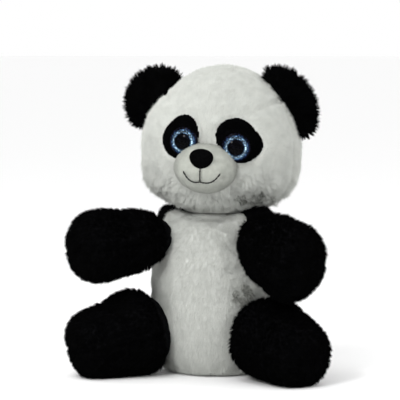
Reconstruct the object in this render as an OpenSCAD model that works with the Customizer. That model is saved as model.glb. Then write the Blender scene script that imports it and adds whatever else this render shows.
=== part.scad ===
// A seated plush panda: sewn fabric panels over fibre stuffing, with safety eyes.
// It faces -Y, its own left is +X, and it sits on the plane z = 0.

/* [Fabric] */
// Thickness of a cover panel: backing cloth with the pile pressed flat
fabric_t = 2.4; // [1.6:0.1:3]
// Slack between a cover and the stuffing inside it
slack = 0.4; // [0.3:0.1:0.8]

/* [Torso] */
// Height of the neck seam above the seat
torso_h = 139; // [134:1:139]
// Radius of the belly where it is fullest
belly_r = 57.5; // [55:0.5:58]
// Radius of the chest between the arms
chest_r = 45; // [42:0.5:46]
// Radius of the flat seat
seat_r = 35; // [30:1:38]

/* [Head] */
// Radius of the head across the cheeks
head_r = 67; // [64:0.5:68]
// Height of the widest part of the head
head_z = 194; // [193:1:198]
// Rise from the widest part to the crown
head_up = 67; // [64:1:72]
// Drop from the widest part to the chin
head_down = 49; // [46:1:50]
// Front to back depth of the head as a share of its width
head_depth = 0.92; // [0.88:0.01:0.96]
// Angle by which the head is turned to its own left
head_turn = 6; // [0:1:8]
// Angle by which the face and ears are set askew on the head
face_roll = 3.5; // [0:0.5:6]

/* [Face] */
// Diameter of a safety eye
eye_d = 24; // [20:0.5:25]
// Distance between the centres of the eyes
eye_gap = 43.5; // [43:0.5:46]
// Height of the eyes
eye_z = 197.5; // [196:0.5:200]
// Width of the muzzle
muzzle_w = 54; // [50:1:56]
// Height of the muzzle
muzzle_h = 42; // [40:1:44]
// How far the muzzle stands out from the face
muzzle_out = 27; // [23:1:30]
// Height of the muzzle's centre
muzzle_z = 177; // [176:0.5:179]
// Width of the nose
nose_w = 19; // [16:0.5:21]

/* [Ears] */
// Radius of an ear
ear_r = 26; // [24:0.5:27]
// Thickness of an ear
ear_t = 10; // [8:0.5:12]
// Angle of an ear above the horizontal
ear_lift = 35; // [32:1:38]

/* [Arms] */
// Height of the shoulder
shoulder_z = 117; // [115:1:118]
// Distance of the shoulder from the torso's axis
shoulder_out = 62; // [62:0.5:63]
// Angle of the arms away from straight ahead
arm_spread = 47; // [45:1:49]
// Angle by which the arms droop
arm_droop = 8; // [6:1:10]
// Thickness of an arm as a share of its drawn outline
arm_fat = 1; // [0.94:0.01:1]

/* [Legs] */
// Height of the hip
hip_z = 37.1; // [37.1:0.1:38.5]
// Distance of the hip from the torso's axis
hip_out = 68.8; // [68.8:0.1:70]
// Angle of the legs away from straight ahead
leg_spread = 51; // [50:1:54]
// Angle by which the legs slope down to the feet
leg_droop = 12; // [11:0.5:12]
// Thickness of a leg as a share of its drawn outline
leg_fat = 1; // [0.94:0.01:1]

/* [Hidden] */

$fn = 64;
FINE = 32;
DARK = [0.04, 0.04, 0.045];
CREAM = [0.86, 0.86, 0.83];
IVORY = [0.88, 0.86, 0.8];
FIBRE = [0.95, 0.95, 0.95];

// Neck: the hole through both covers, and the fibre plug in it
neck_hole = 20;
plug_r = 11;
plug_ball = 13;
plug_z = 151;
nod_room = 1.6;

// Azimuths of the seams round the head and the torso, from +X
face_half = 75;
side_span = 60;
belly_half = 62;
yoke_z = 96;

inner = fabric_t + slack;
front_a = 270;
post_r = 2.4;
washer_r = 8;
washer_t = 1.4;
eye_back_t = 1.2;
eye_dome = 6.5;
eye_turn = 15;
eye_lift_off = 2.5;
post_length = 13;
nose_post = 20;
thread_r = 0.55;
patch_t = 1.6;
patch_gap = 0.4;

// ---- curves ----

// A smooth curve through the points p, with both ends square to the axis x = 0
function mirrored(q) = [-q[0], q[1]];
function with_ends(p) = concat([mirrored(p[1])], p, [mirrored(p[len(p) - 2])]);
function between(a, b, c, d, t) =
    ((-a + 3 * b - 3 * c + d) * t ^ 3 + (2 * a - 5 * b + 4 * c - d) * t ^ 2 + (c - a) * t + 2 * b) / 2;
function smooth(p, n = 4) = let(e = with_ends(p))
    concat([for (i = [1:len(p) - 1], k = [0:n - 1]) between(e[i - 1], e[i], e[i + 1], e[i + 2], k / n)],
           [p[len(p) - 1]]);

// The curve p moved inwards by d; the inside is on the curve's left
function unit(v) = v / max(norm(v), 0.0001);
function heading(p, i) = p[i][0] < 0.01 ? [i == 0 ? 1 : -1, 0]
    : unit(p[min(i + 1, len(p) - 1)] - p[max(i - 1, 0)]);
function inset(p, d) = [for (i = [0:len(p) - 1]) let(t = heading(p, i))
    [max(p[i][0] - t[1] * d, 0), p[i][1] + t[0] * d]];
function backwards(p) = [for (i = [len(p) - 1:-1:0]) p[i]];
function part_of(p, a, b) = [for (i = [a:b]) p[i]];
function last(p) = len(p) - 1;
// The section of a cover whose outer side is the curve p from its point a to its point b
function cover(p, a, b) = concat(part_of(p, a, b), backwards(part_of(inset(p, fabric_t), a, b)));

// ---- outlines, as [radius, height] ----

torso_line = smooth([[seat_r, 0], [belly_r - 7, 14], [belly_r - 2, 38], [belly_r, 66],
                     [chest_r + 6.5, yoke_z], [chest_r - 1, 120], [chest_r - 10, torso_h - 5],
                     [neck_hole + 3, torso_h]]);
yoke_at = 16;
pellets_at = 4;

// The head's outline is two quarters of a superellipse that meet at its widest part
CROWN = 1.86;
CHIN = 2.7;
function head_point(q, d) = let(h = q > 0 ? head_up : head_down, n = q > 0 ? CROWN : CHIN)
    [(head_r - d) * abs(cos(q)) ^ (2 / n), head_z + sign(q) * (h - d) * abs(sin(q)) ^ (2 / n)];
function head_line(d, from, n = 26) = [for (i = [0:n]) head_point(from + (90 - from) * i / n, d)];
neck_q = -acos((neck_hole / head_r) ^ (CHIN / 2));
function head_radius(z) = let(up = z > head_z, h = up ? head_up : head_down, n = up ? CROWN : CHIN)
    head_r * max(1 - (abs(z - head_z) / h) ^ n, 0) ^ (1 / n);
// Front of the head's cover at a place on the face
function face_y(x, z) = -head_depth * sqrt(max(head_radius(z) ^ 2 - x ^ 2, 1));

// A limb runs out along its axis from a blunt cone at the root to a rounded end
function fatter(p, k) = [for (q = p) [q[0] * k, q[1]]];
arm_line = fatter(smooth([[0, -13], [9, -11.5], [21, 0], [28.5, 14], [27, 32], [28.5, 49],
                          [23, 66], [11, 72.5], [0, 74]]), arm_fat);
leg_line = fatter(smooth([[0, -12], [9, -10.5], [26, -1], [35, 11], [29.5, 29], [27.5, 45],
                          [23.5, 58], [12, 64], [0, 65]]), leg_fat);
sole_at = 24;
tail_line = smooth([[13, 0], [14, 7], [8, 14], [0, 15.5]]);
function ear_line(d) = [for (q = [0:7.5:90]) [(ear_r - d) * cos(q), (ear_t / 2 - d) * sin(q) ^ 0.8]];

// ---- torso ----

module torso_panel(from, to, a, b) {
    rotate([0, 0, from]) rotate_extrude(angle = to - from) polygon(cover(torso_line, a, b));
}

module belly_panel() {
    color(CREAM) torso_panel(front_a - belly_half, front_a + belly_half, 0, last(torso_line));
}

module shoulder_yoke() {
    color(DARK) torso_panel(front_a + belly_half, front_a + 360 - belly_half, yoke_at, last(torso_line));
}

module left_lower_back() {
    color(CREAM) torso_panel(front_a + belly_half, front_a + 180, 0, yoke_at);
}

module right_lower_back() {
    mirror([1, 0, 0]) left_lower_back();
}

module seat_panel() {
    color(CREAM) cylinder(r = seat_r - 0.5, h = fabric_t);
}

module inside_torso(a, b, lift) {
    line = part_of(inset(torso_line, inner), a, b);
    low = line[0][1] + lift;
    top = line[last(line)][1];
    rotate_extrude()
        polygon(concat([[0, low], [line[0][0], low]], part_of(line, 1, last(line)), [[0, top]]));
}

module pellet_bag() {
    color(FIBRE) inside_torso(0, pellets_at, 0);
}

module body_stuffing() {
    color(FIBRE) inside_torso(pellets_at, last(torso_line), slack);
}

module at_tail() {
    translate([0, belly_r + 0.5, 26]) rotate([-90, 0, 0]) children();
}

module tail_cover() {
    color(CREAM) at_tail() rotate_extrude() polygon(cover(tail_line, 0, last(tail_line)));
}

module tail_stuffing() {
    line = inset(tail_line, inner);
    color(FIBRE) at_tail() rotate_extrude()
        polygon(concat([[0, line[2][1]]], part_of(line, 2, last(line))));
}

module care_label() {
    color(FIBRE) rotate([0, 0, 62]) translate([belly_r + 0.6, -0.4, 14]) cube([13, 0.8, 18]);
}

module neck_stuffing() {
    foot = torso_h - inner + slack;
    color(FIBRE) {
        translate([0, 0, foot]) cylinder(r = plug_r, h = plug_z - foot);
        translate([0, 0, plug_z]) sphere(r = plug_ball);
    }
}

// ---- head ----

module turned() {
    rotate([0, 0, head_turn]) children();
}

// The face's middle, about which its features are set askew
face_mid = 188;
function askew(x, z) = [x * cos(face_roll) + (z - face_mid) * sin(face_roll),
                        face_mid + (z - face_mid) * cos(face_roll) - x * sin(face_roll)];

module at_eye(side) {
    e = askew(side * eye_gap / 2, eye_z);
    turned() translate([e[0], face_y(e[0], e[1]) - eye_lift_off, e[1]])
        rotate([0, 0, side * eye_turn]) rotate([90, 0, 0]) children();
}

module eye_holes(r) {
    for (side = [-1, 1]) at_eye(side) translate([0, 0, -post_length - 0.5])
        cylinder(r = r, h = post_length, $fn = FINE);
}

module head_panel(from, to) {
    turned() scale([1, head_depth, 1]) rotate([0, 0, from]) rotate_extrude(angle = to - from)
        polygon(concat(head_line(0, neck_q), backwards(head_line(fabric_t, neck_q))));
}

module face_panel() {
    color(CREAM) difference() {
        head_panel(front_a - face_half, front_a + face_half);
        eye_holes(post_r + 0.3);
    }
}

module left_head_side() {
    color(CREAM) head_panel(front_a + face_half, front_a + face_half + side_span);
}

module right_head_side() {
    color(CREAM) head_panel(front_a - face_half - side_span, front_a - face_half);
}

module head_back_panel() {
    color(CREAM) head_panel(front_a + face_half + side_span, front_a + 360 - face_half - side_span);
}

module head_solid(d) {
    turned() scale([1, head_depth, 1]) for (from = [0, 180])
        rotate([0, 0, from]) rotate_extrude(angle = 180) polygon(head_line(d, -90));
}

module head_stuffing() {
    color(FIBRE) difference() {
        head_solid(inner);
        cylinder(r = plug_ball + nod_room, h = plug_z + plug_ball + nod_room);
        eye_holes(post_r + 0.4);
        for (side = [-1, 1]) at_eye(side) translate([0, 0, -washer_at - washer_t - 0.4])
            cylinder(r = washer_r + 0.4, h = washer_at + washer_t, $fn = FINE);
    }
}

washer_at = eye_lift_off + fabric_t + 1.4;

// ---- muzzle, nose and mouth ----

muzzle = askew(0, muzzle_z);
muzzle_y = face_y(0, muzzle_z);
nose_rise = 10.5;
nose_c = askew(0, muzzle_z + nose_rise);

module muzzle_solid(d) {
    turned() translate([muzzle[0], muzzle_y, muzzle[1]])
        scale([muzzle_w / 2 - d, muzzle_out - d, muzzle_h / 2 - d]) sphere(r = 1);
}

// The room that an eye takes, which the muzzle gives way to
module eye_room(side) {
    at_eye(side) rotate_extrude($fn = FINE)
        polygon(concat([[0, -5], [eye_d / 2 + 0.5, -5]],
                       [for (q = [0:15:90]) [(eye_d / 2 + 0.5) * cos(q), eye_back_t + 1 + (eye_dome + 0.4) * sin(q)]]));
}

module off_the_face() {
    difference() {
        children();
        head_solid(-patch_gap - patch_t - 0.6);
        for (side = [-1, 1]) eye_room(side);
    }
}

module at_nose() {
    turned() translate([nose_c[0], 0, nose_c[1]]) children();
}

nose_tip = muzzle_y - muzzle_out - 3;

module muzzle_cover() {
    color(IVORY) off_the_face() difference() {
        muzzle_solid(0);
        muzzle_solid(fabric_t);
        at_nose() translate([0, nose_tip, 0]) rotate([-90, 0, 0])
            cylinder(r = post_r + 0.3, h = nose_post, $fn = FINE);
    }
}

module muzzle_stuffing() {
    color(FIBRE) off_the_face() difference() {
        muzzle_solid(inner);
        at_nose() translate([0, nose_tip, 0]) rotate([-90, 0, 0]) {
            cylinder(r = post_r + 0.3, h = nose_post + 3.5, $fn = FINE);
            cylinder(r = nose_washer_r + 0.4, h = nose_post - 0.6 + washer_t, $fn = FINE);
        }
    }
}

nose_washer_r = 5;

module nose() {
    color(DARK) {
        difference() {
            at_nose() translate([0, nose_tip + 6, 0])
                scale([nose_w / 2, 7, nose_w * 0.43]) sphere(r = 1);
            muzzle_solid(-0.2);
        }
        at_nose() translate([0, nose_tip + 2, 0]) rotate([-90, 0, 0])
            cylinder(r = post_r, h = nose_post + 1, $fn = FINE);
    }
}

module nose_washer() {
    color(FIBRE) at_nose() translate([0, nose_tip + nose_post - 1, 0]) rotate([-90, 0, 0]) difference() {
        cylinder(r = nose_washer_r, h = washer_t, $fn = FINE);
        translate([0, 0, -1]) cylinder(r = post_r + 0.1, h = washer_t + 2, $fn = FINE);
    }
}

// A place on the muzzle's front, raised by d, at x and z from the muzzle's centre
function on_muzzle(x, z, d) = let(a = muzzle_w / 2, c = muzzle_h / 2,
    y = -muzzle_out * sqrt(max(1 - (x / a) ^ 2 - (z / c) ^ 2, 0)),
    n = unit([x / a ^ 2, y / muzzle_out ^ 2, z / c ^ 2]))
    [x, y, z] + n * d;

module thread(path) {
    sides = 6;
    n = len(path);
    function ring(i) = let(t = unit(path[min(i + 1, n - 1)] - path[max(i - 1, 0)]),
                           e = unit(cross(t, [0, -1, 0])), f = cross(e, t))
        [for (k = [0:sides - 1]) path[i] + thread_r * (e * cos(360 * k / sides) + f * sin(360 * k / sides))];
    points = [for (i = [0:n - 1]) each ring(i)];
    walls = [for (i = [0:n - 2], k = [0:sides - 1]) let(a = i * sides + k, b = i * sides + (k + 1) % sides)
        each [[a, b, a + sides], [b, b + sides, a + sides]]];
    polyhedron(points, concat(walls, [[for (k = [sides - 1:-1:0]) k]],
                              [[for (k = [0:sides - 1]) (n - 1) * sides + k]]));
}

smile_w = 15.5;
smile_z = -9.5;
// Height of the smile's line at x: two shallow bowls that meet in the middle
function smile(x) = let(u = abs(x) / smile_w) smile_z + 7.5 * u ^ 3 - 4.4 * u * (1 - u);

module mouth_stitching() {
    raised = thread_r + 0.15;
    color(DARK) turned() translate([muzzle[0], muzzle_y, muzzle[1]]) rotate([0, face_roll, 0]) {
        thread([for (i = [-10:10]) let(x = smile_w * i / 10) on_muzzle(x, smile(x), raised)]);
        thread([for (z = [smile_z + 1.5:1.6:smile_z + 10]) on_muzzle(0, z, raised)]);
    }
}

// ---- eyes and their patches ----

module eye_lens(side) {
    color([0.45, 0.62, 0.8]) at_eye(side) rotate_extrude()
        polygon(concat([[0, eye_back_t]],
                       [for (q = [0:7.5:90]) [eye_d / 2 * cos(q), eye_back_t + 0.8 + eye_dome * sin(q)]]));
}

module eye_back(side) {
    color([0.1, 0.15, 0.3]) at_eye(side) {
        cylinder(r = eye_d / 2, h = eye_back_t);
        translate([0, 0, -post_length]) cylinder(r = post_r, h = post_length, $fn = FINE);
    }
}

module eye_washer(side) {
    color(FIBRE) at_eye(side) translate([0, 0, -washer_at - washer_t]) difference() {
        cylinder(r = washer_r, h = washer_t);
        translate([0, 0, -1]) cylinder(r = post_r + 0.1, h = washer_t + 2, $fn = FINE);
    }
}

// Reach of a patch from its eye, at the angle q up from the outer side
function patch_reach(q) = 19.2 + 4.4 * cos(q - 65) + 0.8 * cos(2 * q);

module eye_patch(side) {
    rings = 3;
    spokes = 30;
    hole = eye_d / 2 + 1.2;
    function place(q, k, d) = let(r = hole + (patch_reach(q) - hole) * k / rings,
        e = askew(side * (eye_gap / 2 + r * cos(q)), eye_z + r * sin(q)))
        [e[0], face_y(e[0], e[1]) - d, e[1]];
    loop = concat([for (k = [0:rings]) [k, patch_gap + patch_t]], [for (k = [rings:-1:0]) [k, patch_gap]]);
    m = len(loop);
    points = [for (i = [0:spokes - 1]) let(q = 360 * i / spokes) for (s = loop) place(q, s[0], s[1])];
    quads = [for (i = [0:spokes - 1], j = [0:m - 1])
        [i * m + j, i * m + (j + 1) % m, ((i + 1) % spokes) * m + (j + 1) % m, ((i + 1) % spokes) * m + j]];
    faces = [for (f = quads) each [[f[0], f[1], f[2]], [f[0], f[2], f[3]]]];
    color(DARK) turned() polyhedron(points, side < 0 ? faces : [for (f = faces) [f[2], f[1], f[0]]]);
}

module left_eye_patch() { eye_patch(1); }
module left_eye_lens() { eye_lens(1); }
module left_eye_back() { eye_back(1); }
module left_eye_washer() { eye_washer(1); }
module right_eye_patch() { eye_patch(-1); }
module right_eye_lens() { eye_lens(-1); }
module right_eye_back() { eye_back(-1); }
module right_eye_washer() { eye_washer(-1); }

// ---- ears ----

// An ear stands on a hinge line just off the head, where the head's side faces out and up
ear_q = 34;
ear_foot = head_point(ear_q, 0) + 2.6 * [cos(ear_lift), sin(ear_lift)];
ear_centre = 0.5;

module on_ear(side) {
    turned() translate([0, 0, face_mid]) rotate([0, face_roll, 0]) mirror([side > 0 ? 0 : 1, 0, 0])
        translate([ear_foot[0], 0, ear_foot[1] - face_mid])
            rotate([0, -ear_lift, 0]) rotate([90, 0, 0]) children();
}

module ear_half(side, line, face) {
    on_ear(side) intersection() {
        translate([ear_centre, 0, 0]) mirror([0, 0, face > 0 ? 0 : 1]) rotate_extrude() polygon(line);
        translate([0, -50, -50]) cube([100, 100, 100]);
    }
}

module ear_cover(side, face) {
    color(DARK) ear_half(side, concat(ear_line(0), backwards(ear_line(2))), face);
}

module ear_stuffing(side) {
    lens = ear_line(2.4);
    color(FIBRE) ear_half(side, concat([for (q = backwards(lens)) [q[0], -q[1]]], part_of(lens, 1, last(lens))), 1);
}

module left_ear_front() { ear_cover(1, 1); }
module left_ear_back() { ear_cover(1, -1); }
module left_ear_stuffing() { ear_stuffing(1); }
module right_ear_front() { ear_cover(-1, 1); }
module right_ear_back() { ear_cover(-1, -1); }
module right_ear_stuffing() { ear_stuffing(-1); }

// ---- arms ----

module on_arm() {
    rotate([0, 0, arm_spread - 90]) translate([shoulder_out, 0, shoulder_z])
        rotate([0, arm_droop, 0]) rotate([0, 90, 0]) children();
}

module arm_cover(from) {
    color(DARK) on_arm() rotate([0, 0, from]) rotate_extrude(angle = 180)
        polygon(cover(arm_line, 0, last(arm_line)));
}

module left_arm_upper() { arm_cover(90); }
module left_arm_lower() { arm_cover(270); }
module left_arm_stuffing() { color(FIBRE) on_arm() rotate_extrude() polygon(inset(arm_line, inner)); }
module right_arm_upper() { mirror([1, 0, 0]) left_arm_upper(); }
module right_arm_lower() { mirror([1, 0, 0]) left_arm_lower(); }
module right_arm_stuffing() { mirror([1, 0, 0]) left_arm_stuffing(); }

// ---- legs ----

module on_leg() {
    rotate([0, 0, leg_spread - 90]) translate([hip_out, 0, hip_z])
        rotate([0, leg_droop, 0]) rotate([0, 90, 0]) children();
}

module leg_cover(from) {
    color(DARK) on_leg() rotate([0, 0, from]) rotate_extrude(angle = 180) polygon(cover(leg_line, 0, sole_at));
}

module left_leg_inner() { leg_cover(180); }
module left_leg_outer() { leg_cover(0); }
module left_foot_sole() {
    color(DARK) on_leg() rotate_extrude() polygon(cover(leg_line, sole_at, last(leg_line)));
}
module left_leg_stuffing() { color(FIBRE) on_leg() rotate_extrude() polygon(inset(leg_line, inner)); }
module right_leg_inner() { mirror([1, 0, 0]) left_leg_inner(); }
module right_leg_outer() { mirror([1, 0, 0]) left_leg_outer(); }
module right_foot_sole() { mirror([1, 0, 0]) left_foot_sole(); }
module right_leg_stuffing() { mirror([1, 0, 0]) left_leg_stuffing(); }

belly_panel();
shoulder_yoke();
left_lower_back();
right_lower_back();
seat_panel();
body_stuffing();
pellet_bag();
tail_cover();
tail_stuffing();
care_label();
neck_stuffing();
face_panel();
left_head_side();
right_head_side();
head_back_panel();
head_stuffing();
muzzle_cover();
muzzle_stuffing();
nose();
nose_washer();
mouth_stitching();
left_eye_patch();
left_eye_lens();
left_eye_back();
left_eye_washer();
right_eye_patch();
right_eye_lens();
right_eye_back();
right_eye_washer();
left_ear_front();
left_ear_back();
left_ear_stuffing();
right_ear_front();
right_ear_back();
right_ear_stuffing();
left_arm_upper();
left_arm_lower();
left_arm_stuffing();
right_arm_upper();
right_arm_lower();
right_arm_stuffing();
left_leg_inner();
left_leg_outer();
left_foot_sole();
left_leg_stuffing();
right_leg_inner();
right_leg_outer();
right_foot_sole();
right_leg_stuffing();
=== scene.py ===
"""Looks of a seated plush panda: stuffed cloth skins that grow a mesh pile, glitter eyes and a velour muzzle.

Shapes are worked out in millimetres and written to the meshes in metres. The head, face and ears are laid out
in the head's own frame, before the head is turned: x to its own left, -y to the front, z up. The row frame is
the one that everything shares. In tables by side, 1 is the panda's own left and -1 its right.
"""
import math

import bpy
import numpy as np
from mathutils import Matrix, Vector, kdtree


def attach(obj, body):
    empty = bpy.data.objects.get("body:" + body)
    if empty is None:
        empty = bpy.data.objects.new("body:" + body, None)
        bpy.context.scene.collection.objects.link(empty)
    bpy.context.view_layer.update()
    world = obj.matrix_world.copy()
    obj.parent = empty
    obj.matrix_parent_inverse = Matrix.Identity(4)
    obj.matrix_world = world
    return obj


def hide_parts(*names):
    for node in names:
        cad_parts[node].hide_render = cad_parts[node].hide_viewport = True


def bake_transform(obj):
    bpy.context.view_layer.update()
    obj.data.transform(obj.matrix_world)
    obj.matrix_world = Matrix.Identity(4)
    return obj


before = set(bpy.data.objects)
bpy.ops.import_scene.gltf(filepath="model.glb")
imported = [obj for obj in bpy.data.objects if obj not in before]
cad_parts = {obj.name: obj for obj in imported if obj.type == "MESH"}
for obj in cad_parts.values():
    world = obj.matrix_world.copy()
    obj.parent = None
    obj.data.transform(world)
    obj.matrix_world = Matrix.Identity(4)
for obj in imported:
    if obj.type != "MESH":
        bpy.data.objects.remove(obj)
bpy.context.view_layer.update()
MM = 0.001
SIDES = (("left", 1), ("right", -1))

# ---- sizes in mm, angles in degrees ----

TORSO_LINE = [(35, 0), (49, 8), (55.5, 32), (57.5, 64), (55, 96), (51, 115), (46.5, 128), (37, 136),
              (20, 138)]
BELLY_HALF, YOKE_Z, YOKE_REACH = 62, 96, {1: 13, -1: 6}
ARM_LINE = [(0, -20), (11, -18.5), (18.5, -7), (26, 11), (27.5, 30), (30, 49), (26.5, 64), (15, 72),
            (0, 74.5)]
LEG_LINE = [(0, -22), (20, -20), (31, -9), (36.5, 7), (32.5, 27), (30, 45), (26, 57), (15, 64), (0, 65.5)]
TAIL_LINE = [(13, 0), (14, 7), (8, 14), (0, 15.5)]
TAIL_Y, TAIL_Z = 58.0, 26
SHOULDER = dict(out=63.5, z=117, spread={1: 48.5, -1: 47}, droop={1: 14, -1: 7}, sag={1: 1.2, -1: 1},
                size={1: (0.95, 1, 0.96), -1: (0.95, 1, 0.98)})
HIP = dict(out=68.8, z=37.1, spread={1: 51, -1: 51}, droop={1: 14, -1: 12}, sag={1: 1, -1: 1},
           size={1: (1, 0.92, 1), -1: (1, 1, 1)})
HEAD_R, HEAD_Z, HEAD_UP, HEAD_DOWN, HEAD_DEPTH, CROWN, CHIN = 67, 194, 67, 54.5, 0.92, 1.86, 2.65
HEAD_TURN, HEAD_SHIFT, JAW_Z, BROW_Z, HEAD_FRONT, HEAD_BACK = 6, 3.3, 148, 186, -18, 18
FACE_ROLL, FACE_MID, FACE_X, FACE_FRONT = 3.5, 188, -2.4, -20
EYE_R, EYE_GAP, EYE_SHIFT, EYE_Z, EYE_SINK, EYE_TURN, EYE_DOME = 12, 42.2, -0.5, 197.5, 2.2, 8, 4.5
EYE_MOVE = {1: (0.8, -1.6), -1: (0, 0.6)}
EYE_FLAKE = 0.8
MUZZLE = dict(z=177, w=25.5, out=26, h=19.9)
NOSE_HALF, NOSE_RISE = (9.8, 6.6, 8.3), 9.1
SMILE_RIGHT, SMILE_LEFT, SMILE_Z, SMILE_RISE, SMILE_SAG = 14.2, 15.5, -9.5, 7.5, 4.4
EAR_R, EAR_Q, EAR_LIFT, EAR_FOOT = 26, 34, 35, 2.6
FLOOR_GAP, FLOOR_HALF = 0.25, 40000
ROOT_SINK, SEAM_HALF = 0.7, 3
FAR = 99.0

# ---- stuffing by cloth simulation: mm, and Blender's own units ----

CLOTH_VOXEL, CLOTH_PRESSURE, CLOTH_MASS, CLOTH_SLACK = 5, 4, 0.3, -0.03
CLOTH_STRETCH, CLOTH_BEND, CLOTH_QUALITY, CLOTH_FRAMES = 15, 0.05, 5, 20


# ---- small maths ----

def turn_z(deg):
    c, s = math.cos(math.radians(deg)), math.sin(math.radians(deg))
    return np.array([[c, -s, 0], [s, c, 0], [0, 0, 1.0]])


def turn_y(deg):
    c, s = math.cos(math.radians(deg)), math.sin(math.radians(deg))
    return np.array([[c, 0, s], [0, 1.0, 0], [-s, 0, c]])


def unit(v):
    return v / np.maximum(np.linalg.norm(v, axis=-1, keepdims=True), 1e-9)


def step(low, high, x):
    """0 below low, 1 above high, smooth in between; low may be above high."""
    t = np.clip((x - low) / (high - low), 0, 1)
    return t * t * (3 - 2 * t)


def groove(off, half):
    """1 on a line, falling smoothly to 0 either side. off is how far off the line a place is."""
    return np.exp(-(off / half) ** 2)


def spot(x, z, at, half):
    """1 at a place, falling smoothly to 0 around it."""
    return np.exp(-((x - at[0]) / half[0]) ** 2 - ((z - at[1]) / half[1]) ** 2)


def ripple(p, size, seed, waves=7):
    """Smooth lumps from about -1 to 1, about size mm across."""
    rnd = np.random.default_rng(seed)
    out = np.zeros(len(p))
    for _ in range(waves):
        k = unit(rnd.standard_normal(3)) * rnd.uniform(0.6, 1.5) * math.pi / size
        out += np.sin(p @ k + rnd.uniform(0, 6.28))
    return out / math.sqrt(waves)


def smooth_between(a, b, c, d, t):
    """The smooth curve's point a share t of the way from b to c, with a before them and d after."""
    cube, square = -a + 3 * b - 3 * c + d, 2 * a - 5 * b + 4 * c - d
    return (cube * t ** 3 + square * t ** 2 + (c - a) * t + 2 * b) / 2


def curve(points, n=12):
    """The CAD's smooth curve through [radius, height] points, its ends square to the axis."""
    p = np.array(points, float)
    e = np.vstack([p[1] * (-1, 1), p, p[-2] * (-1, 1)])
    out = []
    for i in range(1, len(p)):
        a, b, c, d = e[i - 1:i + 3]
        out += [smooth_between(a, b, c, d, t) for t in np.arange(n) / n]
    return np.vstack([out, p[-1:]])


def evenly(line, spacing):
    """The curve again, with its points about spacing apart."""
    run = np.concatenate([[0], np.cumsum(np.linalg.norm(np.diff(line, axis=0), axis=1))])
    at = np.linspace(0, run[-1], max(int(run[-1] / spacing), 4) + 1)
    return np.stack([np.interp(at, run, line[:, k]) for k in (0, 1)], axis=1)


def revolve(line, around):
    """Points and faces of the curve turned about its axis, closed where it meets the axis."""
    a = np.arange(around) * 2 * math.pi / around
    points, rings = [], []
    for r, h in line:
        rings.append(len(points))
        if r < 0.01:
            points.append((0, 0, h))
        else:
            points += [(r * math.cos(t), r * math.sin(t), h) for t in a]
    faces = []
    for i, (lo, hi) in enumerate(zip(rings, rings[1:])):
        for k in range(around):
            n = (k + 1) % around
            if line[i][0] < 0.01:
                faces.append((lo, hi + n, hi + k))
            elif line[i + 1][0] < 0.01:
                faces.append((lo + k, lo + n, hi))
            else:
                faces.append((lo + k, lo + n, hi + n, hi + k))
    for i, top in ((0, False), (-1, True)):
        if line[i][0] >= 0.01:
            ring = [rings[i] + k for k in range(around)]
            faces.append(tuple(ring if top else ring[::-1]))
    return np.array(points, float), faces


def ball(steps, around):
    """Points and faces of a ball of radius 1."""
    line = np.array([(math.sin(t), -math.cos(t)) for t in np.linspace(0, math.pi, steps)])
    line[[0, -1], 0] = 0
    return revolve(line, around)


# ---- meshes ----

def link(name, data):
    ob = bpy.data.objects.new(name, data)
    bpy.context.collection.objects.link(ob)
    return ob


def mesh_object(name, points, faces):
    """A smooth mesh from points in mm."""
    me = bpy.data.meshes.new(name)
    me.from_pydata([tuple(p) for p in np.asarray(points) * MM], [], [tuple(f) for f in faces])
    me.polygons.foreach_set("use_smooth", np.ones(len(me.polygons), bool))
    me.update()
    return link(name, me)


def triangle_object(name, points, faces, normals=None):
    """A mesh of triangles, made quickly from arrays."""
    me = bpy.data.meshes.new(name)
    me.vertices.add(len(points))
    me.vertices.foreach_set("co", (points * MM).astype(np.float32).ravel())
    me.loops.add(faces.size)
    me.loops.foreach_set("vertex_index", faces.astype(np.int32).ravel())
    me.polygons.add(len(faces))
    me.polygons.foreach_set("loop_start", np.arange(0, faces.size, 3, dtype=np.int32))
    me.polygons.foreach_set("use_smooth", np.ones(len(faces), bool))
    me.update(calc_edges=True)
    if normals is not None:
        me.normals_split_custom_set_from_vertices(normals)
    return link(name, me)


def points_of(ob):
    """A mesh's points, in mm."""
    out = np.empty(len(ob.data.vertices) * 3, np.float32)
    ob.data.vertices.foreach_get("co", out)
    return out.reshape(-1, 3).astype(float) / MM


def set_points(ob, points):
    ob.data.vertices.foreach_set("co", (points * MM).astype(np.float32).ravel())
    ob.data.update()


def surface(ob):
    """Points, triangles and normals of a mesh."""
    me = ob.data
    me.calc_loop_triangles()
    tri = np.empty(len(me.loop_triangles) * 3, np.int32)
    me.loop_triangles.foreach_get("vertices", tri)
    normal = np.empty(len(me.vertices) * 3, np.float32)
    me.vertex_normals.foreach_get("vector", normal)
    return points_of(ob), tri.reshape(-1, 3), normal.reshape(-1, 3).astype(float)


def dress(ob, body, material, replaces=()):
    """Gives a piece its material, the body it rides on and the CAD nodes that it stands for."""
    ob.data.materials.clear()
    ob.data.materials.append(material)
    if body:
        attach(ob, body)
    if replaces:
        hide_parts(*replaces)
    return ob


# ---- pile ----

def scatter(skin, count, length, rnd):
    """Roots spread evenly over the parts of a skin where length is above 0: places, normals and lengths."""
    points, tri, normal = surface(skin)
    corner = points[tri]
    area = np.linalg.norm(np.cross(corner[:, 1] - corner[:, 0], corner[:, 2] - corner[:, 0]), axis=1)
    weight = area * (length(corner.mean(axis=1)) > 0)
    pick = rnd.choice(len(tri), count, p=weight / weight.sum())
    u, v = rnd.random((2, count))
    flip = u + v > 1
    u[flip], v[flip] = 1 - u[flip], 1 - v[flip]
    mix = np.stack([1 - u - v, u, v], axis=1)[:, :, None]
    root, n = (corner[pick] * mix).sum(axis=1), unit((normal[tri[pick]] * mix).sum(axis=1))
    size = length(root)
    keep = size > 0
    return root[keep], n[keep], size[keep]


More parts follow.
